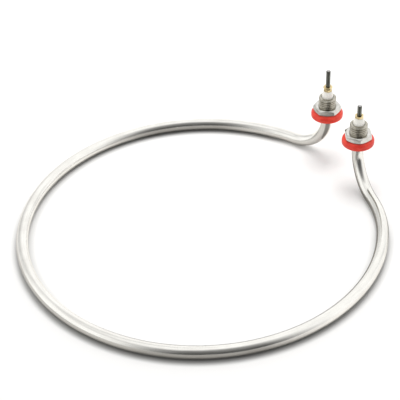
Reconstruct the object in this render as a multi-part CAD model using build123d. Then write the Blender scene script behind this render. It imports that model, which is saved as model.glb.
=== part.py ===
from build123d import *
import os
from math import atan2, cos, degrees, hypot, pi, radians, sin, sqrt, tan

# Tubular heating element: one open ring of sheathed tube lies flat, and its two ends bend
# upright side by side. Each end carries a threaded bushing with a gasket and a hex nut,
# a ceramic bead and a threaded terminal pin.
# Millimetres, +Z up. The ring rests on Z = 0, the gap between its ends faces +X, and the
# origin is the middle of the whole element's box in X and Y.

# Sheath tube and its bends; radii are those of the tube's centre line
tube_diameter = 8.0
tube_wall = 0.6
ring_radius = 118.0
stud_spacing = 38.0          # between the two upright legs
lead_bend_radius = 90.0      # slight inward bend where the ring leads into a leg
rear_lead_angle = 0.0        # degrees turned by that bend; none if the ring runs straight in
front_lead_angle = 21.7
leg_bend_radius = 25.6       # bend from the floor up into the leg
leg_straight = 3.2           # straight tube from that bend up to the gasket's underside

# Threaded bushing, M12 x 1.5, with a low collar under the gasket
thread_diameter = 12.0
thread_pitch = 1.5
bushing_height = 15.6        # from the gasket's underside to the rim
rim_chamfer = 0.6
collar_diameter = 15.0
collar_thickness = 1.5

# Gasket
gasket_diameter = 22.0
gasket_thickness = 4.5
gasket_top_rounding = 2.2    # the gasket's upper edge is soft and bulges over
gasket_bottom_rounding = 0.6

# Hex nut, 17 mm across flats
nut_flats = 17.0
nut_thickness = 4.0
nut_crown_diameter = 16.2    # circle left flat on the nut's faces by the corner chamfer
nut_crown_angle = 30.0       # degrees between that chamfer and the face
countersink_diameter = 13.0
rear_nut_turn = 26.0         # degrees each nut stands turned by
front_nut_turn = 4.0

# Ceramic bead in the mouth of the bushing
bead_seat_depth = 3.0        # from the rim down to the end of the tube
bead_base_diameter = 7.8     # at the rim
bead_nose_diameter = 6.0
bead_nose_height = 4.8       # above the rim

# Terminal pins, M3 x 0.5, and the thin brass nuts on them
pin_diameter = 3.0
pin_pitch = 0.5
pin_chamfer = 0.3
rear_pin_height = 20.7       # above the bushing's rim
front_pin_height = 14.1
terminal_nut_flats = 5.5
terminal_nut_thickness = 1.8
terminal_nut_crown_diameter = 5.2
rear_terminal_nut_turns = (-4.0, 26.0)   # degrees, one for each nut, from the bead up
front_terminal_nut_turns = (-6.0,)

# Inside of the tube
coil_wire = 0.4
pin_in_coil = 10.0           # length of pin that reaches into each end of the coil
seal_length = 6.0            # from the tube's end down

# Clearances
nested_clearance = 0.05      # on the radius, between pieces inside each other
slip_clearance = 0.1         # on the radius, between a thread and what is pushed over it
thread_lead_in = 0.3         # free thread starts this far above the nut on it

# Worked-out sizes
tube_radius = tube_diameter / 2
tube_bore_radius = tube_radius - tube_wall
fill_radius = tube_bore_radius - nested_clearance
pin_radius = pin_diameter / 2
coil_bore_radius = pin_radius + nested_clearance
coil_radius = coil_bore_radius + coil_wire
thread_radius = thread_diameter / 2

# A nut and its thread meet on plain faces at the thread's pitch diameter, and a thread
# that is free keeps its major diameter. The pitch diameter is the major one less this
# share of the pitch.
PITCH_LINE = 3 * sqrt(3) / 8
engaged_thread_radius = thread_radius - PITCH_LINE * thread_pitch
engaged_pin_radius = pin_radius - PITCH_LINE * pin_pitch

# Worked-out heights
bend_top_z = tube_radius + leg_bend_radius
gasket_bottom_z = bend_top_z + leg_straight
gasket_top_z = gasket_bottom_z + gasket_thickness
nut_top_z = gasket_top_z + nut_thickness
rim_z = gasket_bottom_z + bushing_height
tube_end_z = rim_z - bead_seat_depth
seal_bottom_z = tube_end_z - seal_length
bead_top_z = rim_z + bead_nose_height

REAR = 1                     # the leg on the +Y side
FRONT = -1
SIDES = {"rear": REAR, "front": FRONT}
pin_heights = {REAR: rear_pin_height, FRONT: front_pin_height}
lead_angles = {REAR: radians(rear_lead_angle), FRONT: radians(front_lead_angle)}
nut_turns = {REAR: rear_nut_turn, FRONT: front_nut_turn}
terminal_nut_turns = {REAR: rear_terminal_nut_turns, FRONT: front_terminal_nut_turns}


def leg_offset(lead_angle):
    """How far a leg stands in along the radius and on along the tangent at the ring's end."""
    inward = lead_bend_radius * (1 - cos(lead_angle)) + leg_bend_radius * sin(lead_angle)
    onward = lead_bend_radius * sin(lead_angle) + leg_bend_radius * cos(lead_angle)
    return ring_radius - inward, onward


# Those offsets fix each leg's distance from the ring's centre, and the spacing then fixes
# where both legs stand on a line along Y. Angles are measured from +X towards each leg.
leg_offsets = {side: leg_offset(angle) for side, angle in lead_angles.items()}
leg_distances = {side: hypot(*offset) for side, offset in leg_offsets.items()}
distance_term = (leg_distances[REAR] ** 2 - leg_distances[FRONT] ** 2) / (2 * stud_spacing)
rear_stud_y = stud_spacing / 2 + distance_term
front_stud_y = rear_stud_y - stud_spacing
stud_line_x = sqrt(leg_distances[REAR] ** 2 - rear_stud_y ** 2)
stud_ys = {REAR: rear_stud_y, FRONT: front_stud_y}
ring_end_angles = {
    side: atan2(side * stud_ys[side], stud_line_x) + atan2(onward, radial)
    for side, (radial, onward) in leg_offsets.items()}
pin_in_coil_angle = pin_in_coil / ring_radius

# Middle of the element's box in X, from the ring's centre; in Y they agree
box_centre_x = (stud_line_x + gasket_diameter / 2 - ring_radius - tube_radius) / 2


def stud(side, z=0.0):
    """A point on a leg's axis."""
    return Vector(stud_line_x, stud_ys[side], z)


def leg_path(side, top_z):
    """Edges from the top of a leg down, round its bend and the lead bend, to the ring."""
    end_angle = ring_end_angles[side]
    away = end_angle - lead_angles[side]
    heading = Vector(-sin(away), side * cos(away), 0)
    down = Vector(0, 0, -1)
    bend_top = stud(side, bend_top_z)
    bend_end = stud(side, tube_radius) + heading * leg_bend_radius
    ring_end = Vector(ring_radius * cos(end_angle), side * ring_radius * sin(end_angle),
                      tube_radius)
    path = [
        Line(stud(side, top_z), bend_top),
        TangentArc(bend_top, bend_end, tangent=down),
    ]
    if lead_angles[side] > 0:
        path.append(TangentArc(bend_end, ring_end, tangent=heading))
    return path


def ring_arc(start, end):
    """Arc of the ring from one angle to another, in radians, the way they run."""
    return CenterArc((0, 0, tube_radius), ring_radius, degrees(start), degrees(end - start))


def ring_path(short_of_ends=0.0):
    """The ring from its rear end to its front end, or to an angle short of both."""
    start = ring_end_angles[REAR] + short_of_ends
    end = 2 * pi - ring_end_angles[FRONT] - short_of_ends
    return [ring_arc(start, end)]


def rod(edges, radius):
    """Round bar that follows tangent edges, in order."""
    bar = None
    for edge in edges:
        start = Plane(origin=edge @ 0, z_dir=edge % 0)
        piece = sweep(start * Circle(radius), path=edge)
        bar = piece if bar is None else bar + piece
    return bar


def whole_rod(top_z, radius):
    """Round bar from one upright end, all round the ring, to the other."""
    return rod(leg_path(REAR, top_z) + ring_path() + leg_path(FRONT, top_z), radius)


def washer(outer_radius, inner_radius, bottom_z, top_z):
    """Plain round ring about Z."""
    height = top_z - bottom_z
    base = Pos(0, 0, bottom_z + height / 2)
    return base * (Cylinder(outer_radius, height) - Cylinder(inner_radius, height))


def hex_blank(flats, thickness, crown_diameter, bore_radius):
    """Hex nut on Z = 0 with chamfered corners on both faces, and a plain bore."""
    corner = flats / 2 / cos(pi / 6)
    drop = (corner - crown_diameter / 2) * tan(radians(nut_crown_angle))
    prism = extrude(RegularPolygon(corner, 6), thickness)
    profile = Polyline(
        (0, 0), (crown_diameter / 2, 0), (corner, drop), (corner, thickness - drop),
        (crown_diameter / 2, thickness), (0, thickness), close=True)
    crown = revolve(Plane.XZ * make_face(profile), axis=Axis.Z)
    return (prism & crown) - Pos(0, 0, thickness / 2) * Cylinder(bore_radius, thickness)


def sheath_tube():
    """Thin steel tube with open ends."""
    return whole_rod(tube_end_z, tube_radius) - whole_rod(tube_end_z, tube_bore_radius)


def heating_coil():
    """Outer form of the wound resistance wire, as a sleeve along the ring."""
    return rod(ring_path(), coil_radius) - rod(ring_path(), coil_bore_radius)


def insulating_powder():
    """Packed powder round the coil and the pins."""
    packed = whole_rod(seal_bottom_z, fill_radius)
    packed -= whole_rod(seal_bottom_z, pin_radius + nested_clearance)
    return packed - rod(ring_path(), coil_radius + nested_clearance)


def powder_core():
    """Packed powder inside the coil, between the two pins."""
    return rod(ring_path(pin_in_coil_angle), pin_radius)


def terminal_nuts_top_z(side):
    """Top of the last brass nut on a pin."""
    return bead_top_z + len(terminal_nut_turns[side]) * terminal_nut_thickness


def cold_pin(side):
    """Terminal pin: a threaded stud on top, then round the leg and into the coil."""
    start = ring_end_angles[side]
    in_coil = ring_arc(side * start, side * (start + pin_in_coil_angle))
    pin = rod(leg_path(side, rim_z + pin_heights[side]) + [in_coil], pin_radius)
    top_edge = pin.edges().filter_by(GeomType.CIRCLE).sort_by(Axis.Z)[-1]
    pin = chamfer(top_edge, pin_chamfer)
    in_nuts = washer(pin_diameter, engaged_pin_radius, bead_top_z,
                     terminal_nuts_top_z(side) + thread_lead_in)
    return pin - Pos(*stud(side)) * in_nuts


def threaded_bushing():
    """Bushing about Z with its collar, bored for the tube."""
    profile = Polyline(
        (tube_radius + nested_clearance, gasket_bottom_z - collar_thickness),
        (collar_diameter / 2, gasket_bottom_z - collar_thickness),
        (collar_diameter / 2, gasket_bottom_z),
        (engaged_thread_radius, gasket_bottom_z),
        (engaged_thread_radius, nut_top_z + thread_lead_in),
        (thread_radius, nut_top_z + thread_lead_in),
        (thread_radius, rim_z - rim_chamfer),
        (thread_radius - rim_chamfer, rim_z),
        (tube_radius + nested_clearance, rim_z),
        close=True)
    return revolve(Plane.XZ * make_face(profile), axis=Axis.Z)


def gasket():
    """Soft ring between the collar and the wall that the element is fixed to."""
    ring = washer(gasket_diameter / 2, thread_radius + slip_clearance,
                  gasket_bottom_z, gasket_top_z)
    top_rim = ring.faces().sort_by(Axis.Z)[-1].outer_wire().edges()
    ring = fillet(top_rim, gasket_top_rounding)
    bottom_rim = ring.faces().sort_by(Axis.Z)[0].outer_wire().edges()
    return fillet(bottom_rim, gasket_bottom_rounding)


def hex_nut(turn):
    """Fixing nut about Z, seated on the gasket."""
    bore_radius = engaged_thread_radius + nested_clearance
    nut = hex_blank(nut_flats, nut_thickness, nut_crown_diameter, bore_radius)
    depth = countersink_diameter / 2 - bore_radius
    cut = Cone(bore_radius, countersink_diameter / 2, depth)
    nut -= Pos(0, 0, nut_thickness - depth / 2) * cut
    nut -= Pos(0, 0, depth / 2) * Rot(180, 0, 0) * cut
    return Pos(0, 0, gasket_top_z) * Rot(0, 0, turn) * nut


def insulator_bead():
    """Bead about Z: its shank seats on the tube's end, its nose rises above the rim."""
    bore = pin_radius + slip_clearance
    shank = tube_radius - nested_clearance
    profile = Polyline(
        (bore, tube_end_z), (shank, tube_end_z), (shank, rim_z),
        (bead_base_diameter / 2, rim_z), (bead_nose_diameter / 2, bead_top_z),
        (bore, bead_top_z), close=True)
    return revolve(Plane.XZ * make_face(profile), axis=Axis.Z)


def end_seal():
    """Plug about Z that closes the end of the tube round the pin."""
    return washer(fill_radius, pin_radius + nested_clearance, seal_bottom_z, tube_end_z)


def terminal_nut(level, turn):
    """Thin brass nut about Z; level 0 sits on the bead, and each next one on the last."""
    nut = hex_blank(terminal_nut_flats, terminal_nut_thickness, terminal_nut_crown_diameter,
                    engaged_pin_radius + nested_clearance)
    return Pos(0, 0, bead_top_z + level * terminal_nut_thickness) * Rot(0, 0, turn) * nut


def build_nodes():
    """Every piece by its name, about the ring's centre."""
    nodes = {
        "sheath_tube": sheath_tube(),
        "insulating_powder": insulating_powder(),
        "powder_core": powder_core(),
        "heating_coil": heating_coil(),
    }
    stacked = {
        "threaded_bushing": threaded_bushing(),
        "gasket": gasket(),
        "insulator_bead": insulator_bead(),
        "end_seal": end_seal(),
    }
    for name, side in SIDES.items():
        place = Pos(*stud(side))
        nodes[f"{name}_cold_pin"] = cold_pin(side)
        for piece, shape in stacked.items():
            nodes[f"{name}_{piece}"] = place * shape
        nodes[f"{name}_hex_nut"] = place * hex_nut(nut_turns[side])
        for level, turn in enumerate(terminal_nut_turns[side]):
            nodes[f"{name}_terminal_nut_{level + 1}"] = place * terminal_nut(level, turn)
    return nodes


def main():
    os.makedirs("parts", exist_ok=True)
    for name, shape in build_nodes().items():
        export_step(Pos(-box_centre_x, 0, 0) * shape, f"parts/{name}.step")


if __name__ == "__main__":
    main()
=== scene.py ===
from math import atan2, ceil, cos, pi, radians, sin, sqrt, tan
import bpy
from mathutils import Matrix, Vector


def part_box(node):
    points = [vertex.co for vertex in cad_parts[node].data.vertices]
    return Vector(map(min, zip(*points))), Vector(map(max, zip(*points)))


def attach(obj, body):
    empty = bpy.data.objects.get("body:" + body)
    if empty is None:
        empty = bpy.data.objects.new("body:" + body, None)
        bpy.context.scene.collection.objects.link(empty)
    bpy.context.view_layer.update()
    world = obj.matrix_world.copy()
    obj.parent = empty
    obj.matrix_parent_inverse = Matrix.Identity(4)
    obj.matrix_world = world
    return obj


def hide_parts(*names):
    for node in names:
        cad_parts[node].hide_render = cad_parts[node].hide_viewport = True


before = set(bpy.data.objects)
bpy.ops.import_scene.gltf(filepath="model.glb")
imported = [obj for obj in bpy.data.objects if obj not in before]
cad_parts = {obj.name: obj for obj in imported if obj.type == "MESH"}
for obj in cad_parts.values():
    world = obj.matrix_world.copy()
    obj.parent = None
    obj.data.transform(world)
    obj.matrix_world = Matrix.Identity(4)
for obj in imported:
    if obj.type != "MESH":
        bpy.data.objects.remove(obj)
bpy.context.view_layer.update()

MM = 0.001
SIDES = ("rear", "front")
DOWN, UP = Vector((0, 0, -1)), Vector((0, 0, 1))

# ---------------------------------------------------------------- sizes of the part
# Places and heights come from the CAD boxes, the other sizes are those of the part.

# Sheath tube and its bends; radii are those of the tube's centre line
TUBE_RADIUS = 4.0 * MM
TUBE_WALL = 0.6 * MM
LEAD_BEND_RADIUS = 90.0 * MM
LEAD_ANGLES = {"rear": 0.0, "front": radians(21.7)}
LEG_BEND_RADIUS = 25.6 * MM

tube_low, tube_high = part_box("sheath_tube")
RING_RADIUS = (tube_high.y - tube_low.y) / 2 - TUBE_RADIUS
RING_CENTRE = Vector((tube_low.x + TUBE_RADIUS + RING_RADIUS, 0, TUBE_RADIUS))
TUBE_END_Z = tube_high.z


def middle(node):
    low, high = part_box(node)
    return (low + high) / 2


STUD = {side: middle(f"{side}_threaded_bushing").xy for side in SIDES}
SIGN = {"rear": 1, "front": -1}                  # side of the gap, along Y

# M12 x 1.5 bushing and its collar
THREAD_RADIUS = 6.0 * MM
THREAD_PITCH = 1.5 * MM
THREAD_DEPTH = 0.75 * MM
ENGAGED_RADIUS = 5.51 * MM                       # plain inside the nut, at pitch diameter
BUSHING_BORE = 4.05 * MM
RIM_CHAMFER = 0.6 * MM
MOUTH_CHAMFER = 0.3 * MM
COLLAR_THICKNESS = 1.5 * MM
THREAD_START = 0.9 * MM                          # down inside the nut, where it isn't seen
THREAD_RUN_IN = 0.45 * MM                        # height in which it grows to its depth
THREAD_ROW = 0.06 * MM                           # height of a row of its mesh
CREST_INSET = 0.02 * MM                          # worn off the crests

# Nuts: flat to flat, circle left flat on the faces, bore, countersink, soft corners and edges
HEX_NUT = {"flats": 17.0 * MM, "crown": 8.1 * MM, "bore": ENGAGED_RADIUS + 0.05 * MM,
           "sink": 6.15 * MM, "rounding": 0.35 * MM, "edge": 0.12 * MM}
HEX_NUT_TURNS = {"rear": radians(26), "front": radians(4)}
BRASS_NUT = {"flats": 5.5 * MM, "crown": 2.6 * MM, "bore": 1.4 * MM, "sink": 1.75 * MM,
             "rounding": 0.15 * MM, "edge": 0.06 * MM}
BRASS_NUT_TURNS = {"rear": (radians(-4), radians(26)), "front": (radians(-6),)}
NUT_BEVEL = radians(30)                          # between the corners' chamfer and the face

# Gasket, a hair under its CAD radius, with its upper face a little sunk under the nut
GASKET_LOWER_ROUNDING = 0.6 * MM
GASKET_UPPER_ROUNDING = 2.2 * MM
GASKET_INSET = 0.03 * MM
GASKET_SUNK_RADIUS = 8.0 * MM
GASKET_SUNK_DEPTH = 0.05 * MM

# Bead's nose, and the clearance round a thread in what is pushed over it
BEAD_NOSE_RADIUS = 3.0 * MM
SLIP_CLEARANCE = 0.1 * MM

# M3 pin
PIN_RADIUS = 1.5 * MM
PIN_PITCH = 0.5 * MM
PIN_THREAD_DEPTH = 0.2 * MM
PIN_CHAMFER = 0.35 * MM
PIN_WAIST = 0.16 * MM                            # off its radius inside the brass nuts
PIN_CUT_DEPTH = 0.06 * MM                        # down to which its top is bare metal
PIN_RING_SHARE = 0.0175                          # of the ring that it reaches round
PIN_ROW = 0.05 * MM                              # length of a row of its thread's mesh
PIN_STEP = 1.5 * MM                              # and of a row of the rest
PIN_JOINT = 0.2 * MM                             # under the bead's top, between the two

# A thread's outline, in shares of its pitch: half its flat crest, then its flank
CREST_SHARE = 0.08
FLANK_SHARE = 0.36

# ---------------------------------------------------------------- mesh helpers


def in_scene(name, data):
    """A new object with that data, linked to the scene."""
    made = bpy.data.objects.new(name, data)
    bpy.context.scene.collection.objects.link(made)
    return made


def piece(name, mesh, material, slot, *nodes):
    """A new piece of the element: it stands for CAD nodes and rides with the root body."""
    made = in_scene(name, mesh)
    mesh.materials.append(material)
    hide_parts(*nodes)
    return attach(made, "root")


def grid_mesh(name, rows, around, along, closed=False, caps=False, sharp=32):
    """Mesh through rows of points. Each row closes on itself; closed joins last row to first,
    caps close the two end rows. around and along give the UV of a column and of a row, and
    edges past sharp degrees stay sharp."""
    count, width = len(rows), len(rows[0])
    points = [tuple(p) for row in rows for p in row]
    faces, uvs = [], []
    for i in range(count if closed else count - 1):
        j = (i + 1) % count
        low, high = along[i], along[i + 1]
        for k in range(width):
            m = (k + 1) % width
            faces.append((i * width + k, i * width + m, j * width + m, j * width + k))
            uvs += [(around[k], low), (around[k + 1], low),
                    (around[k + 1], high), (around[k], high)]
    if caps:
        for row, order in ((0, -1), (count - 1, 1)):
            ring = list(range(row * width, (row + 1) * width))[::order]
            faces.append(ring)
            uvs += [(around[k % width], along[row]) for k in ring]
    mesh = bpy.data.meshes.new(name)
    mesh.from_pydata(points, [], faces)
    layer = mesh.uv_layers.new(name="UVMap")
    layer.data.foreach_set("uv", [x for uv in uvs for x in uv])
    mesh.polygons.foreach_set("use_smooth", [True] * len(faces))
    mesh.set_sharp_from_angle(angle=radians(sharp))
    mesh.update()
    return mesh


def soften(profile, reaches, steps=3, most=0.45):
    """Closed profile with each corner replaced by a small curve that starts and ends at its
    reach from the corner, or at that share of the side if the side is short."""
    result, count = [], len(profile)
    for i, reach in enumerate(reaches):
        here = Vector(profile[i])
        if not reach:
            result.append(here)
            continue
        back, ahead = Vector(profile[i - 1]) - here, Vector(profile[(i + 1) % count]) - here
        start = here + back.normalized() * min(reach, back.length * most)
        end = here + ahead.normalized() * min(reach, ahead.length * most)
        for k in range(steps + 1):
            t = k / steps
            result.append(start * (1 - t) ** 2 + here * 2 * t * (1 - t) + end * t ** 2)
    return result


def turned(name, centre, column, angles, sharp=32):
    """Closed ring shape about a vertical axis; column(angle) gives its closed profile."""
    columns = [column(angle) for angle in angles]
    first = columns[0]
    rows = [[(centre[0] + c[k][0] * cos(a), centre[1] + c[k][0] * sin(a), c[k][1])
             for a, c in zip(angles, columns)] for k in range(len(first))]
    lengths = [0.0]
    for k in range(len(first)):
        step = Vector(first[(k + 1) % len(first)]) - Vector(first[k])
        lengths.append(lengths[-1] + step.length / MM)
    around = [a / (2 * pi) for a in angles] + [angles[0] / (2 * pi) + 1]
    return grid_mesh(name, rows, around, lengths, closed=True, sharp=sharp)


def turned_plain(name, centre, profile, count, sharp):
    """Closed ring shape with the same profile all round."""
    return turned(name, centre, lambda angle: profile, even_angles(count), sharp)


def even_angles(count):
    return [2 * pi * k / count for k in range(count)]


def quarter_turn(count):
    """Angles from 0 to 90 degrees, both in it, that many steps apart."""
    return [pi / 2 * k / count for k in range(count + 1)]


def hex_angles(turn):
    """Angles round a hexagon, close together at its corners."""
    near = (0.0, 0.5, 1.0, 1.5, 3.0, 6.0, 10.0, 15.0, 20.0, 25.0, 30.0)
    half = list(near) + [60 - a for a in near[-2:0:-1]]
    return [turn + radians(60 * side + a) for side in range(6) for a in half]


def hex_radius(angle, flats, rounding):
    """Radius of a hexagon with rounded corners; a corner is at angle 0."""
    apothem = flats / 2
    off_corner = abs((angle + pi / 6) % (pi / 3) - pi / 6)
    off_flat = pi / 6 - off_corner
    if apothem * tan(off_flat) <= (apothem - rounding) * tan(pi / 6):
        return apothem / cos(off_flat)
    reach = (apothem - rounding) / cos(pi / 6)
    return reach * cos(off_corner) + sqrt(rounding ** 2 - (reach * sin(off_corner)) ** 2)


def thread_drop(turns, depth):
    """How far a thread's surface lies under its crest, at a place counted in pitches."""
    off_crest = abs((turns + 0.5) % 1 - 0.5)
    share = min(max((off_crest - CREST_SHARE) / FLANK_SHARE, 0.0), 1.0)
    return depth * share * share * (3 - 2 * share)


# ---------------------------------------------------------------- the tube's bent line


def leg_heading(side):
    """Where the ring ends at a leg, as an angle from the middle of the gap, and the level
    direction in which the leg's foot runs off into its lead bend."""
    across = STUD[side] - RING_CENTRE.xy
    lead, sign = LEAD_ANGLES[side], SIGN[side]
    radial = RING_RADIUS - LEAD_BEND_RADIUS * (1 - cos(lead)) - LEG_BEND_RADIUS * sin(lead)
    onward = LEAD_BEND_RADIUS * sin(lead) + LEG_BEND_RADIUS * cos(lead)
    end_angle = atan2(sign * across.y, across.x) + atan2(onward, radial)
    away = end_angle - lead
    return end_angle, Vector((-sin(away), sign * cos(away), 0))


def bent_line(top_z, side, step=1.2 * MM, ring_share=1.0):
    """Points and headings from the top of one leg down and round the ring.
    ring_share 1 goes on up the other leg to the same height."""
    other = SIDES[1 - SIDES.index(side)]
    points = []

    def straight(start, heading, length):
        count = max(1, ceil(length / step))
        for k in range(count):
            points.append((start + heading * (length * k / count), heading.copy()))
        return start + heading * length

    def arc(start, heading, axis, radius, angle):
        """Turns by angle about axis; returns the end and the new heading."""
        centre = start + axis.cross(heading) * radius
        count = max(2, ceil(radius * abs(angle) / step))
        for k in range(count):
            turn = Matrix.Rotation(angle * k / count, 3, axis)
            points.append((centre + turn @ (start - centre), turn @ heading))
        turn = Matrix.Rotation(angle, 3, axis)
        return centre + turn @ (start - centre), turn @ heading

    leg_length = top_z - (TUBE_RADIUS + LEG_BEND_RADIUS)
    ring_axis = UP * SIGN[side]
    start_angle, heading = leg_heading(side)
    end_angle, _ = leg_heading(other)
    at = straight(Vector((*STUD[side], top_z)), DOWN, leg_length)
    at, aim = arc(at, DOWN, DOWN.cross(heading), LEG_BEND_RADIUS, pi / 2)
    if LEAD_ANGLES[side]:
        at, aim = arc(at, aim, ring_axis, LEAD_BEND_RADIUS, LEAD_ANGLES[side])
    whole = 2 * pi - start_angle - end_angle
    at, aim = arc(at, aim, ring_axis, RING_RADIUS, whole * ring_share)
    if ring_share == 1:
        if LEAD_ANGLES[other]:
            at, aim = arc(at, aim, ring_axis, LEAD_BEND_RADIUS, LEAD_ANGLES[other])
        at, aim = arc(at, aim, aim.cross(UP), LEG_BEND_RADIUS, pi / 2)
        at = straight(at, UP, leg_length)
    points.append((at, aim))
    return points


def swept(name, line, radii, width, caps=False, sharp=32):
    """Mesh along a line of points and headings. radii holds radius(distance, angle) of the
    outside, and for a pipe that of the inside too: then the mesh runs out along the one and
    back along the other."""
    side_dir = line[0][1].orthogonal().normalized()
    frames, distance, travelled = [], 0.0, []
    for k, (point, aim) in enumerate(line):
        if k:
            distance += (point - line[k - 1][0]).length
            side_dir = (side_dir - aim * side_dir.dot(aim)).normalized()
        travelled.append(distance)
        frames.append((point, side_dir.copy(), aim.cross(side_dir)))
    angles = even_angles(width)
    around = [k / width for k in range(width + 1)]

    def ring(k, radius_at):
        point, u, v = frames[k]
        return [point + (u * cos(a) + v * sin(a)) * radius_at(travelled[k], a)
                for a in angles]

    order = range(len(line))
    rows = [ring(k, radii[0]) for k in order]
    along = list(travelled)
    pipe = len(radii) == 2
    if pipe:
        rows += [ring(k, radii[1]) for k in reversed(order)]
        along += [2 * distance - t for t in reversed(travelled)] + [2 * distance]
    return grid_mesh(name, rows, around, along, closed=pipe, caps=caps, sharp=sharp)


# ---------------------------------------------------------------- shader helpers


def add(tree, kind, inputs=(), **settings):
    """A shader node. Inputs are values or output sockets, by name or number."""
    node = tree.nodes.new(kind)
    for key, value in settings.items():
        setattr(node, key, value)
    for key, value in dict(inputs).items():
        if isinstance(value, bpy.types.NodeSocket):
            tree.links.new(value, node.inputs[key])
        else:
            node.inputs[key].default_value = value
    return node


def maths(tree, operation, *values):
    return add(tree, "ShaderNodeMath", enumerate(values), operation=operation).outputs[0]


def product(tree, first, *others):
    for other in others:
        first = maths(tree, "MULTIPLY", first, other)
    return first


def in_degrees(tree, value):
    return maths(tree, "MULTIPLY", value, 180 / pi)


def dot(tree, vector, axis):
    return add(tree, "ShaderNodeVectorMath", {0: vector, 1: axis},
               operation="DOT_PRODUCT").outputs["Value"]


def remap(tree, value, low, high, to_low=0.0, to_high=1.0, smooth=True):
    """to_low below low, to_high above high, and a smooth or straight run between them."""
    return add(tree, "ShaderNodeMapRange",
               {0: value, 1: low, 2: high, 3: to_low, 4: to_high},
               interpolation_type="SMOOTHSTEP" if smooth else "LINEAR").outputs[0]


def fall(tree, value, full, gone, smooth=True):
    """1 up to full, 0 from gone on."""
    return remap(tree, value, full, gone, 1.0, 0.0, smooth)


def bell(tree, value, centre, reach):
    """1 at the centre, falling smoothly to 0 at that reach either side."""
    off = maths(tree, "ABSOLUTE", maths(tree, "SUBTRACT", value, centre))
    return fall(tree, off, 0.0, reach)


def blend(tree, factor, first, second):
    return add(tree, "ShaderNodeMix", {0: factor, 2: first, 3: second}).outputs[0]


def blend_colours(tree, factor, first, second):
    return add(tree, "ShaderNodeMix", {0: factor, 6: first, 7: second},
               data_type="RGBA").outputs[2]


def noise(tree, vector, scale, detail=3.0, roughness=0.55):
    """Even noise about 0.5, its scale in waves per unit of the vector."""
    return add(tree, "ShaderNodeTexNoise",
               {"Vector": vector, "Scale": scale, "Detail": detail,
                "Roughness": roughness}).outputs["Fac"]


def scaled(tree, vector, factors):
    """A vector stretched along its axes, for marks that run one way."""
    return add(tree, "ShaderNodeMapping", {"Vector": vector, "Scale": factors}).outputs[0]


def bump(tree, height, strength, distance, normal=None):
    """Normal bent by a height, on top of another bump if one is given."""
    inputs = {"Height": height, "Strength": strength, "Distance": distance}
    if normal:
        inputs["Normal"] = normal
    return add(tree, "ShaderNodeBump", inputs).outputs[0]


def rgba(red, green, blue):
    return (red, green, blue, 1.0)


def material(name):
    """An empty material, its node tree and its UV and object coordinates."""
    made = bpy.data.materials.new(name)
    made.use_nodes = True
    tree = made.node_tree
    tree.nodes.clear()
    place = add(tree, "ShaderNodeTexCoord")
    return made, tree, place.outputs["UV"], place.outputs["Object"]


def finish_tree(tree, kind, inputs, output="ShaderNodeOutputMaterial"):
    """The tree's shader, wired to its output."""
    shader = add(tree, kind, inputs)
    tree.links.new(shader.outputs[0], add(tree, output).inputs["Surface"])


def principled(tree, inputs):
    finish_tree(tree, "ShaderNodeBsdfPrincipled", inputs)


# ---------------------------------------------------------------- materials


def drawn_tube():
    """Drawn and annealed stainless tube: fine lines along it, soft mottling, a few nicks."""
    made, tree, uv, place = material("drawn_stainless")
    lines = noise(tree, scaled(tree, uv, (22, 70, 1)), 1.0, 5, 0.65)
    mottle = noise(tree, place, 70.0, 3, 0.5)
    cloud = noise(tree, place, 14.0, 2)
    nicks = add(tree, "ShaderNodeTexVoronoi", {"Vector": scaled(tree, uv, (900, 34, 1)),
                                               "Scale": 1.0, "Randomness": 1.0})
    nick = fall(tree, nicks.outputs["Distance"], 0.03, 0.09)
    tone = maths(tree, "ADD", product(tree, lines, 0.55), product(tree, mottle, 0.45))
    colour = blend_colours(tree, remap(tree, tone, 0.3, 0.72), rgba(0.755, 0.74, 0.70),
                           rgba(0.865, 0.855, 0.815))
    colour = blend_colours(tree, product(tree, nick, 0.35), colour, rgba(0.30, 0.28, 0.25))
    rough = maths(tree, "ADD", remap(tree, lines, 0.25, 0.8, 0.13, 0.22),
                  remap(tree, cloud, 0.3, 0.7, -0.02, 0.04))
    fine = bump(tree, lines, 0.12, 0.02 * MM)
    normal = bump(tree, maths(tree, "SUBTRACT", mottle, nick), 0.10, 0.04 * MM, fine)
    tangent = add(tree, "ShaderNodeTangent", direction_type="UV_MAP")
    principled(tree, {"Base Color": colour, "Metallic": 1.0, "Roughness": rough,
                      "Normal": normal, "Anisotropic": 0.25, "Tangent": tangent.outputs[0]})
    return made


def turned_metal(name, bright, dull, rough_low, rough_high, metallic=1.0):
    """Turned metal: fine marks round it, a little tarnish where it is duller."""
    made, tree, uv, place = material(name)
    lines = noise(tree, scaled(tree, uv, (5, 9, 1)), 1.0, 4, 0.6)
    tarnish = noise(tree, place, 260.0, 4, 0.6)
    tone = maths(tree, "ADD", product(tree, lines, 0.4), product(tree, tarnish, 0.6))
    colour = blend_colours(tree, remap(tree, tone, 0.33, 0.66), dull, bright)
    rough = remap(tree, tone, 0.3, 0.7, rough_high, rough_low)
    normal = bump(tree, lines, 0.10, 0.02 * MM)
    normal = bump(tree, tarnish, 0.08, 0.05 * MM, normal)
    principled(tree, {"Base Color": colour, "Metallic": metallic, "Roughness": rough,
                      "Normal": normal})
    return made


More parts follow.
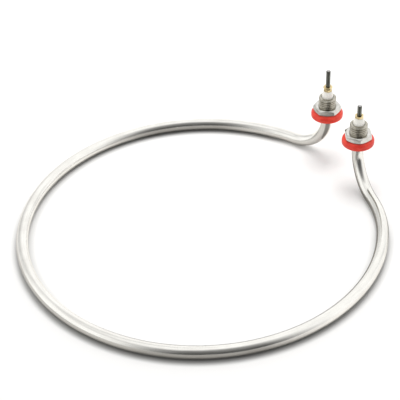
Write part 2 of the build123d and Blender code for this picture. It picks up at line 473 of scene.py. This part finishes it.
def red_silicone():
    """Moulded silicone: deep red, slightly translucent at its edges, with specks of dust."""
    made, tree, _, place = material("red_silicone")
    cloud = noise(tree, place, 180.0, 3)
    grain = noise(tree, place, 2600.0, 2)
    colour = blend_colours(tree, remap(tree, cloud, 0.3, 0.7), rgba(0.70, 0.035, 0.02),
                           rgba(0.86, 0.065, 0.035))
    specks = remap(tree, noise(tree, place, 1500.0, 1), 0.70, 0.78)
    colour = blend_colours(tree, product(tree, specks, 0.25), colour, rgba(0.95, 0.45, 0.38))
    principled(tree, {
        "Base Color": colour, "Roughness": remap(tree, cloud, 0.3, 0.7, 0.34, 0.46),
        "Subsurface Weight": 0.25, "Subsurface Radius": (1.0, 0.18, 0.08),
        "Subsurface Scale": 1.5 * MM, "Specular IOR Level": 0.4,
        "Normal": bump(tree, grain, 0.15, 0.03 * MM)})
    return made


def mineral(name, light, shade, scale, roughness, height):
    """Ceramic, powder or resin: grains of two near colours with a fine uneven surface."""
    made, tree, _, place = material(name)
    cloud = noise(tree, place, scale * 0.2, 3)
    grain = noise(tree, place, scale, 4, 0.65)
    colour = blend_colours(tree, remap(tree, maths(tree, "ADD", cloud, grain), 0.7, 1.3),
                           shade, light)
    pits = fall(tree, noise(tree, place, scale * 0.6, 1), 0.68, 0.78)
    principled(tree, {"Base Color": colour,
                      "Normal": bump(tree, product(tree, pits, grain), 0.35, height),
                      "Roughness": remap(tree, grain, 0.3, 0.7, roughness,
                                         roughness + 0.15)})
    return made


def wound_wire():
    """Coil seen as its outer form: dark gaps between bright turns."""
    made, tree, _, place = material("resistance_wire")
    wave = add(tree, "ShaderNodeTexWave", {"Vector": place, "Scale": 260.0,
                                           "Distortion": 1.5, "Detail": 2.0})
    turns = wave.outputs["Fac"]
    colour = blend_colours(tree, turns, rgba(0.16, 0.14, 0.12), rgba(0.52, 0.49, 0.45))
    principled(tree, {"Base Color": colour, "Metallic": 1.0, "Roughness": 0.42,
                      "Normal": bump(tree, turns, 0.5, 0.3 * MM)})
    return made


STAINLESS = drawn_tube()
FITTING = turned_metal("turned_stainless", rgba(0.55, 0.525, 0.46), rgba(0.33, 0.31, 0.26),
                       0.07, 0.17)
NUT_STEEL = turned_metal("nut_stainless", rgba(0.71, 0.70, 0.665), rgba(0.53, 0.52, 0.485),
                         0.14, 0.26)
BRASS = turned_metal("turned_brass", rgba(0.84, 0.70, 0.42), rgba(0.50, 0.38, 0.18),
                     0.12, 0.26)
PIN_STEEL = turned_metal("oxidised_steel", rgba(0.22, 0.225, 0.195), rgba(0.09, 0.09, 0.08),
                         0.26, 0.42, metallic=0.9)
CUT_STEEL = turned_metal("cut_steel", rgba(0.62, 0.61, 0.60), rgba(0.42, 0.41, 0.40),
                         0.30, 0.45)
SILICONE = red_silicone()
CERAMIC = mineral("fired_ceramic", rgba(0.985, 0.965, 0.91), rgba(0.95, 0.92, 0.85), 900.0,
                  0.38, 0.03 * MM)
MAGNESIA = mineral("magnesia", rgba(0.90, 0.89, 0.86), rgba(0.74, 0.72, 0.68), 1400.0, 0.8,
                   0.10 * MM)
RESIN = mineral("seal_resin", rgba(0.85, 0.83, 0.78), rgba(0.72, 0.69, 0.62), 500.0, 0.45,
                0.04 * MM)
WIRE = wound_wire()

# ---------------------------------------------------------------- the tube

# Unevenness that the bending leaves on the tube: radians per metre along it, waves round
# it, and share of the height
UNEVENNESS = 0.012 * MM
WAVES = ((190, 2, 1.0), (83, -1, 1.0), (410, 3, 0.4))
WAVES_TOGETHER = sum(share for _, _, share in WAVES)


def outer_radius(distance, angle):
    """Tube's outside, which nowhere passes its true radius."""
    wave = sum(share * sin(distance * pace + round_it * angle)
               for pace, round_it, share in WAVES)
    return TUBE_RADIUS - UNEVENNESS * (WAVES_TOGETHER + wave)


def inner_radius(distance, angle):
    return TUBE_RADIUS - TUBE_WALL


skin = swept("sheath_tube_skin", bent_line(TUBE_END_Z, "rear"),
             (outer_radius, inner_radius), 48)
piece("sheath_tube_skin", skin, STAINLESS, "stainless_tube", "sheath_tube")

# ---------------------------------------------------------------- the two ends


def threaded_bushing(side):
    """Bushing with its collar, bored through, and threaded from inside the nut to its rim."""
    low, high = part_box(f"{side}_threaded_bushing")
    thread_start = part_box(f"{side}_hex_nut")[1].z - THREAD_START
    collar_top = low.z + COLLAR_THICKNESS
    collar_radius = (high.x - low.x) / 2
    chamfer_z = high.z - RIM_CHAMFER
    collar = soften(
        [(BUSHING_BORE, low.z), (collar_radius, low.z), (collar_radius, collar_top),
         (ENGAGED_RADIUS, collar_top)],
        [0, 0.25 * MM, 0.2 * MM, 0])
    mouth = [Vector((BUSHING_BORE + MOUTH_CHAMFER, high.z)),
             Vector((BUSHING_BORE, high.z - MOUTH_CHAMFER))]
    rows = round((high.z - thread_start) / THREAD_ROW)
    levels = [thread_start + (high.z - thread_start) * k / rows for k in range(rows + 1)]

    def grown(z, radius):
        """Radius that has grown out of the plain length inside the nut."""
        share = min(1.0, (z - thread_start) / THREAD_RUN_IN)
        return ENGAGED_RADIUS + (radius - ENGAGED_RADIUS) * share

    def column(angle):
        wall = []
        for z in levels:
            crest = min(grown(z, THREAD_RADIUS - CREST_INSET),
                        THREAD_RADIUS - max(0.0, z - chamfer_z))
            phase = (z - chamfer_z) / THREAD_PITCH - angle / (2 * pi)
            cut = grown(z, THREAD_RADIUS - thread_drop(phase, THREAD_DEPTH))
            wall.append(Vector((min(crest, cut), z)))
        return collar + wall + mouth

    mesh = turned(f"{side}_bushing_body", STUD[side], column, even_angles(144), sharp=40)
    piece(f"{side}_bushing_body", mesh, FITTING, "stainless_fitting",
          f"{side}_threaded_bushing")


def hexagon(name, node, side, turn, look, slot, flats, crown, bore, sink, rounding, edge):
    """Hex nut with chamfered and slightly rounded corners and a countersunk bore."""
    low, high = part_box(node)
    depth = sink - bore

    def column(angle):
        reach = hex_radius(angle - turn, flats, rounding)
        drop = (reach - crown) * tan(NUT_BEVEL)
        corners = [(bore, low.z + depth), (sink, low.z), (crown, low.z),
                   (reach, low.z + drop), (reach, high.z - drop), (crown, high.z),
                   (sink, high.z), (bore, high.z - depth)]
        return soften(corners, [0, edge, edge, edge, edge, edge, edge, 0])

    mesh = turned(name, STUD[side], column, hex_angles(turn), sharp=24)
    piece(name, mesh, look, slot, node)


def gasket(side):
    """Silicone ring: its upper edge is soft and rolls over, its lower edge is crisper.
    Reflections leave it out, so that no red streaks show in the metal near it."""
    low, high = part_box(f"{side}_gasket")
    radius = (high.x - low.x) / 2 - GASKET_INSET
    bore = THREAD_RADIUS + SLIP_CLEARANCE
    lower, upper = GASKET_LOWER_ROUNDING, GASKET_UPPER_ROUNDING
    rim = [Vector((radius - lower * (1 - sin(t)), low.z + lower * (1 - cos(t))))
           for t in quarter_turn(8)]
    rim += [Vector((radius - upper * (1 - cos(t)), high.z - upper * (1 - sin(t))))
            for t in quarter_turn(18)]
    sunk_z = high.z - GASKET_SUNK_DEPTH
    profile = ([Vector((bore, low.z))] + rim
               + [Vector((GASKET_SUNK_RADIUS, sunk_z)), Vector((bore, sunk_z))])
    mesh = turned_plain(f"{side}_gasket_ring", STUD[side], profile, 96, sharp=50)
    made = piece(f"{side}_gasket_ring", mesh, SILICONE, "red_silicone", f"{side}_gasket")
    made.visible_glossy = False


def bead(side):
    """Ceramic bead: a shank in the bushing's mouth under a domed nose."""
    low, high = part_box(f"{side}_insulator_bead")
    rim_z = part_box(f"{side}_threaded_bushing")[1].z
    tall = high.z - rim_z
    base = (high.x - low.x) / 2
    shoulder = base - 0.05 * MM
    bore, nose = PIN_RADIUS + SLIP_CLEARANCE, BEAD_NOSE_RADIUS
    shank = [Vector((bore, low.z)), Vector((base - 0.1 * MM, low.z)),
             Vector((base, low.z + 0.15 * MM))]
    dome = [Vector((shoulder - (shoulder - nose) * t ** 1.5,
                    rim_z + 0.1 * MM + (tall - 0.5 * MM) * t))
            for t in (k / 12 for k in range(13))]
    top = [Vector((nose - 0.15 * MM, high.z - 0.12 * MM)),
           Vector((nose - 0.45 * MM, high.z)), Vector((bore + 0.2 * MM, high.z)),
           Vector((bore, high.z - 0.2 * MM))]
    mesh = turned_plain(f"{side}_bead_body", STUD[side], shank + dome + top, 72, sharp=45)
    piece(f"{side}_bead_body", mesh, CERAMIC, "ceramic", f"{side}_insulator_bead")


def terminal_pin(side):
    """Dark pin: a threaded stud with a bare cut top, then round the leg into the ring."""
    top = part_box(f"{side}_cold_pin")[1].z
    bead_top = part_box(f"{side}_insulator_bead")[1].z
    nuts = len(BRASS_NUT_TURNS[side])
    nuts_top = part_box(f"{side}_terminal_nut_{nuts}")[1].z
    stud = top - bead_top + PIN_JOINT
    count = round(stud / PIN_ROW)
    line = [(Vector((*STUD[side], top - stud * k / count)), DOWN) for k in range(count)]
    line += bent_line(bead_top - PIN_JOINT, side, PIN_STEP, PIN_RING_SHARE)

    def radius(distance, angle):
        """Threaded down to the bead, with a waist inside the brass nuts."""
        if distance > top - bead_top:
            return PIN_RADIUS
        phase = distance / PIN_PITCH + angle / (2 * pi)
        cut = PIN_RADIUS - thread_drop(phase, PIN_THREAD_DEPTH)
        if distance > top - nuts_top - 0.2 * MM:
            cut = min(cut, PIN_RADIUS - PIN_WAIST)
        return min(cut, PIN_RADIUS - PIN_CHAMFER + distance)

    mesh = swept(f"{side}_pin_body", line, (radius,), 48, caps=True, sharp=40)
    piece(f"{side}_pin_body", mesh, PIN_STEEL, "pin_steel", f"{side}_cold_pin")
    mesh.materials.append(CUT_STEEL)
    for face in mesh.polygons:
        if face.center.z > top - PIN_CUT_DEPTH:
            face.material_index = 1


for side in SIDES:
    threaded_bushing(side)
    hexagon(f"{side}_hex_nut_body", f"{side}_hex_nut", side, HEX_NUT_TURNS[side], NUT_STEEL,
            "stainless_fitting", **HEX_NUT)
    gasket(side)
    bead(side)
    terminal_pin(side)
    for level, turn in enumerate(BRASS_NUT_TURNS[side], 1):
        hexagon(f"{side}_brass_nut_{level}", f"{side}_terminal_nut_{level}", side, turn,
                BRASS, "brass", **BRASS_NUT)

INNER_LOOKS = {
    "insulating_powder": MAGNESIA, "powder_core": MAGNESIA, "heating_coil": WIRE,
    "rear_end_seal": RESIN, "front_end_seal": RESIN,
}
for node, look in INNER_LOOKS.items():
    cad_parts[node].data.materials.clear()
    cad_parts[node].data.materials.append(look)

# ---------------------------------------------------------------- floor, world and light
# A bearing is a level angle in degrees: 0 towards the camera's side, growing to its right.

CAMERA_SIDE = Vector((-0.460, -0.888, 0.0))      # level direction from the ring to the camera
CAMERA_RIGHT = Vector((0.888, -0.460, 0.0))

# The floor as seen, far from the camera and near it, and the painted contact shadow under the
# ring.
# A reach is where a shade starts to fade and where it has gone.
FLOOR_REACH = 4.0
# FLOOR_NEAR holds painted shade: the floor is a little darker towards the camera
FLOOR_FAR, FLOOR_NEAR = rgba(0.98, 0.975, 0.965), rgba(0.89, 0.885, 0.875)
FLOOR_BLEND = 0.25                               # either side of the middle
CONTACT_SHADOW_COLOUR = rgba(0.02, 0.02, 0.02)
CONTACT_SHADOW_REACH = 0.5 * MM, 8 * MM                 # off the ring's line
CONTACT_SHADOW_BEHIND = 0.40                            # share of the painted contact shadow left where it faces from the camera
GAP_REACH = 0.80, 0.90                           # cosine from the middle of the ring's gap, over which the painted contact shadow fades out

# The floor as the metal mirrors it, lit and in shade
MIRRORED_LIT, MIRRORED_SHADE = rgba(1.0, 0.985, 0.96), rgba(0.26, 0.252, 0.24)
UNDER_REACH, UNDER_DEPTH = (5 * MM, 8.5 * MM), 0.6
RING_EDGE = 3 * MM                               # off its line, from inside to outside
INNER_SHADE_WAY = CAMERA_SIDE * 0.8 + CAMERA_RIGHT * 0.6
INNER_SHADE_RISE = 50 * MM                       # from the ring's middle that way, to full
LEG_REACH = 50 * MM, 85 * MM

# Lobes of shade in it: bearings at which each starts, is full, is still full and has ended,
# and its depth. Those of the ring are taken outward from its line, those of a leg from it.
RING_LOBES = (((-32, -12, 14, 44), 0.865), ((-130, -70, -32, -12), 0.57))
LEG_LOBES = {"front": (((-52, -22, 24, 54), 1.0),),
             "rear": (((-50, -15, 60, 90), 1.0), ((-170, -120, 0, 20), 0.42))}

# The studio's light, what matt surfaces get of it, and the unlit room on the camera's side,
# which fades out towards its full height
STUDIO_LIGHT = 1.22
DIFFUSE_SHARE, DIFFUSE_FILL = 0.50, 0.38
ROOM_HEIGHT, ROOM_FADE = 88.0, 2.4
PATCH_HEIGHT = radians(52)


def bearing(tree, onward, aside):
    return in_degrees(tree, maths(tree, "ARCTAN2", aside, onward))


def offset_from(tree, place, centre):
    """Level direction and distance of a spot on the floor from a centre."""
    off = add(tree, "ShaderNodeVectorMath", {0: place, 1: (centre[0], centre[1], 0)},
              operation="SUBTRACT").outputs[0]
    unit = add(tree, "ShaderNodeVectorMath", {0: off}, operation="NORMALIZE").outputs[0]
    return unit, add(tree, "ShaderNodeVectorMath", {0: off}, operation="LENGTH").outputs[1]


def lobes(tree, angle, table, join):
    """Depth of shade at an angle, from the table's lobes joined by that operation."""
    depths = [product(tree, remap(tree, angle, start, full),
                      fall(tree, angle, still_full, end), depth)
              for (start, full, still_full, end), depth in table]
    shade = depths[0]
    for depth in depths[1:]:
        shade = maths(tree, join, shade, depth)
    return shade


def seen_floor(tree, place, unit, onward, off_line):
    """Floor's colour as seen: pale, with painted shade that makes it a little darker near the
    camera, and a painted contact shadow under the ring, full on the tube's camera side and
    absent in the ring's gap."""
    near = dot(tree, place, CAMERA_SIDE)
    # Painted shade: the floor is blended a little darker towards the camera
    colour = blend_colours(tree, remap(tree, near, -FLOOR_BLEND, FLOOR_BLEND), FLOOR_FAR,
                           FLOOR_NEAR)
    # Painted contact shadow: a dark line on the floor along the ring's line, weaker where it
    # faces from the camera, none in the ring's gap
    contact_shadow = product(tree, fall(tree, off_line, *CONTACT_SHADOW_REACH, smooth=False),
                      fall(tree, dot(tree, unit, (1, 0, 0)), *GAP_REACH),
                      remap(tree, onward, 0.0, 1.0, CONTACT_SHADOW_BEHIND, 1.0, smooth=False))
    return blend_colours(tree, contact_shadow, colour, CONTACT_SHADOW_COLOUR)


def mirrored_floor(tree, place, unit, distance, angle, off_line):
    """Floor's colour in reflections: pale, with shade under the ring, inside it towards the
    camera and its right, and in the lobes of the ring's line and of the legs."""
    shade = lobes(tree, angle, RING_LOBES, "ADD")
    under = product(tree, fall(tree, off_line, *UNDER_REACH), UNDER_DEPTH)
    inside = fall(tree, distance, RING_RADIUS - RING_EDGE, RING_RADIUS + RING_EDGE)
    towards = product(tree, distance, dot(tree, unit, INNER_SHADE_WAY))
    front_half = product(tree, inside, remap(tree, towards, 0.0, INNER_SHADE_RISE))
    shade = maths(tree, "MAXIMUM", maths(tree, "MAXIMUM", shade, under), front_half)
    for side in ("front", "rear"):
        unit, distance = offset_from(tree, place, STUD[side])
        angle = bearing(tree, dot(tree, unit, CAMERA_SIDE), dot(tree, unit, CAMERA_RIGHT))
        near_leg = fall(tree, distance, *LEG_REACH)
        shade = blend(tree, near_leg, shade, lobes(tree, angle, LEG_LOBES[side], "MAXIMUM"))
    return blend_colours(tree, shade, MIRRORED_LIT, MIRRORED_SHADE)


def floor_plane():
    """Pale floor. It keeps the element's shadow, and reflections see it in other colours."""
    mesh = bpy.data.meshes.new("floor")
    corners = [(x * FLOOR_REACH, y * FLOOR_REACH, 0)
               for x, y in ((-1, -1), (1, -1), (1, 1), (-1, 1))]
    mesh.from_pydata(corners, [], [(0, 1, 2, 3)])
    made = in_scene("floor", mesh)
    look, tree, _, place = material("pale_floor")
    unit, distance = offset_from(tree, place, RING_CENTRE)
    outward = remap(tree, distance, RING_RADIUS - RING_EDGE, RING_RADIUS + RING_EDGE,
                    -1.0, 1.0)
    onward = product(tree, dot(tree, unit, CAMERA_SIDE), outward)
    aside = product(tree, dot(tree, unit, CAMERA_RIGHT), outward)
    off_line = maths(tree, "ABSOLUTE", maths(tree, "SUBTRACT", distance, RING_RADIUS))
    seen = seen_floor(tree, place, unit, onward, off_line)
    mirrored = mirrored_floor(tree, place, unit, distance, bearing(tree, onward, aside),
                              off_line)
    path = add(tree, "ShaderNodeLightPath")
    colour = blend_colours(tree, path.outputs["Is Glossy Ray"], seen, mirrored)
    finish_tree(tree, "ShaderNodeBsdfDiffuse", {"Color": colour})
    mesh.materials.append(look)


def studio_world():
    """White for the camera. For light and reflections it is a small studio: pale ceiling
    and walls, and an unlit room on the camera's side. Angles are in degrees."""
    world = bpy.data.worlds.new("studio")
    bpy.context.scene.world = world
    world.use_nodes = True
    tree = world.node_tree
    tree.nodes.clear()
    direction = add(tree, "ShaderNodeTexCoord").outputs["Generated"]
    height = in_degrees(tree, maths(tree, "ARCSINE", dot(tree, direction, UP)))
    level = bearing(tree, dot(tree, direction, CAMERA_SIDE),
                    dot(tree, direction, CAMERA_RIGHT))
    room = product(tree, remap(tree, level, -62, -12), fall(tree, level, 28, 80))
    raised = maths(tree, "DIVIDE", maths(tree, "MAXIMUM", height, 0.0), ROOM_HEIGHT)
    lower = maths(tree, "SUBTRACT", 1.0, maths(tree, "POWER", raised, ROOM_FADE))
    patch = CAMERA_SIDE * cos(PATCH_HEIGHT) + UP * sin(PATCH_HEIGHT)
    from_patch = in_degrees(tree, maths(tree, "ARCCOSINE", dot(tree, direction, patch)))
    darker = (
        (0.92, room, lower),                                              # unlit room
        (0.32, fall(tree, from_patch, 0, 55)),                            # patch in it
        (0.26, bell(tree, level, 40, 85), bell(tree, height, 70, 24)),    # ceiling, right
        (0.42, bell(tree, level, -143, 37), bell(tree, height, 18, 50)),  # far wall, left
        (0.24, bell(tree, height, 56, 16), fall(tree, level, -20, 30)),   # high band, left
        (0.22, bell(tree, level, 126, 16), bell(tree, height, 22, 26)),   # far wall, right
    )
    light = STUDIO_LIGHT
    for share, *shapes in darker:
        light = product(tree, light,
                        maths(tree, "SUBTRACT", 1.0, product(tree, share, *shapes)))
    path = add(tree, "ShaderNodeLightPath").outputs
    mirrored = maths(tree, "MAXIMUM", path["Is Glossy Ray"], path["Is Transmission Ray"])
    diffuse = maths(tree, "MULTIPLY_ADD", light, DIFFUSE_SHARE, DIFFUSE_FILL)
    strength = blend(tree, path["Is Camera Ray"], blend(tree, mirrored, diffuse, light), 1.0)
    finish_tree(tree, "ShaderNodeBackground",
                {"Color": rgba(1, 1, 1), "Strength": strength}, "ShaderNodeOutputWorld")


def softbox(name, place, aim, size, power):
    """Square area light that metal does not mirror; the world's ceiling stands for it."""
    lamp = bpy.data.lights.new(name, "AREA")
    lamp.shape = "SQUARE"
    lamp.size = size
    lamp.energy = power
    made = in_scene(name, lamp)
    made.location = place
    made.rotation_euler = (Vector(aim) - Vector(place)).to_track_quat("-Z", "Y").to_euler()
    made.visible_glossy = False


floor_plane()
studio_world()
softbox("overhead_softbox", place=(0.27, 0.26, 1.0), aim=(0, 0, 0), size=0.6, power=5.0)

# ---------------------------------------------------------------- camera

camera_data = bpy.data.cameras.new("camera")
camera_data.sensor_width = 36.0
camera_data.lens = 117.0
camera_data.clip_start, camera_data.clip_end = 0.01, 20.0
camera = in_scene("camera", camera_data)
right = Vector((0.876749, -0.479997, -0.030239))
above = Vector((0.315717, 0.526969, 0.789067))
ahead = Vector((0.362815, 0.701361, -0.613562))
place = Vector((-0.309216, -0.590763, 0.542564))
turned_view = Matrix((right, above, -ahead)).transposed().to_4x4()
camera.matrix_world = Matrix.Translation(place) @ turned_view
bpy.context.scene.camera = camera

bpy.context.scene.view_settings.view_transform = "Standard"
